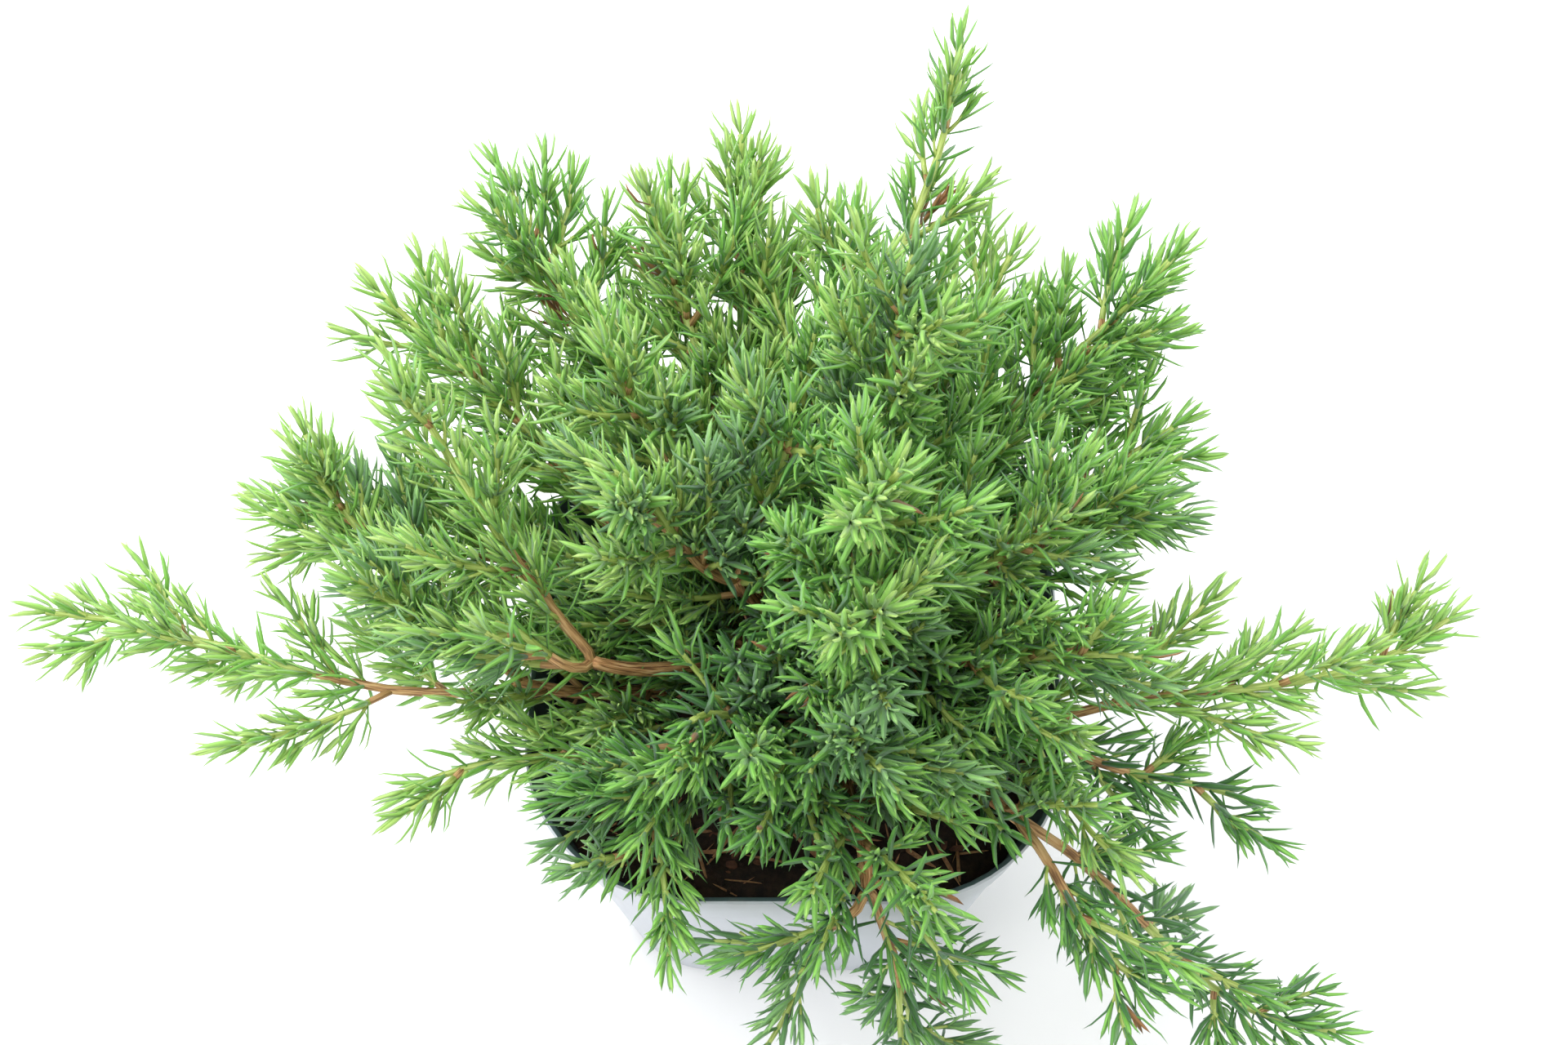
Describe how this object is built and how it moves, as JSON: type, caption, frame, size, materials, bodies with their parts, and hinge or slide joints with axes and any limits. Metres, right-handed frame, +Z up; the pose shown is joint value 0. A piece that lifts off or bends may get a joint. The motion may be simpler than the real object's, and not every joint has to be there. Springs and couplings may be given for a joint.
{
  "type": "potted spreading juniper",
  "caption": "Low spreading needle-leaved juniper with arching and hanging shoots, in a rounded-square plastic nursery pot.",
  "frame": {"origin": "centre of the pot's flat underside, on the surface it stands on", "axes": "+Z up; +X to the right and +Y away from the viewer in the picture, square to the pot's sides"},
  "size_m": [0.4746, 0.3232, 0.2943],
  "materials": {
    "pot": "satin",
    "soil": "matte",
    "bark": "matte",
    "foliage": "matte"
  },
  "bodies": {
    "root": {"pot": "pot", "soil": "soil", "trunk": "bark", "bough_left": "bark", "bough_front_left": "bark", "bough_front": "bark", "bough_front_right": "bark", "bough_right_low": "bark", "bough_left_back": "bark", "bough_back_left": "bark", "bough_back_right": "bark", "bough_right_back": "bark", "bough_left_arch": "bark", "bough_front_mid": "bark", "bough_right": "bark", "bough_back": "bark", "bough_back_left_high": "bark", "bough_front_right_high": "bark", "bough_back_right_high": "bark", "bough_centre_left": "bark", "bough_centre": "bark", "spray_left_long": "foliage", "spray_left_rising": "foliage", "spray_left_front": "foliage", "spray_front_left": "foliage", "spray_front_hanging": "foliage", "spray_front_low": "foliage", "spray_right_hanging": "foliage", "spray_front_right": "foliage", "spray_right_long": "foliage", "spray_right_low": "foliage", "spray_left_back": "foliage", "spray_left_back_low": "foliage", "spray_back_left": "foliage", "spray_back_left_mid": "foliage", "spray_back_right_long": "foliage", "spray_back_right_low": "foliage", "spray_right_back": "foliage", "spray_right_back_low": "foliage", "spray_left_arch": "foliage", "spray_left_arch_low": "foliage", "spray_front_tuft": "foliage", "spray_front_mid": "foliage", "spray_right": "foliage", "spray_right_high": "foliage", "spray_back": "foliage", "spray_back_mid": "foliage", "spray_back_left_high": "foliage", "spray_front_right_high": "foliage", "spray_front_high": "foliage", "spray_back_right_high": "foliage", "spray_centre_left": "foliage", "spray_centre_back": "foliage", "spray_centre": "foliage", "spray_inner_right": "foliage", "spray_inner_back_right": "foliage", "spray_inner_back_left": "foliage", "spray_inner_left": "foliage", "spray_inner_front_left": "foliage", "spray_inner_front": "foliage"}
  },
  "joints": []
}
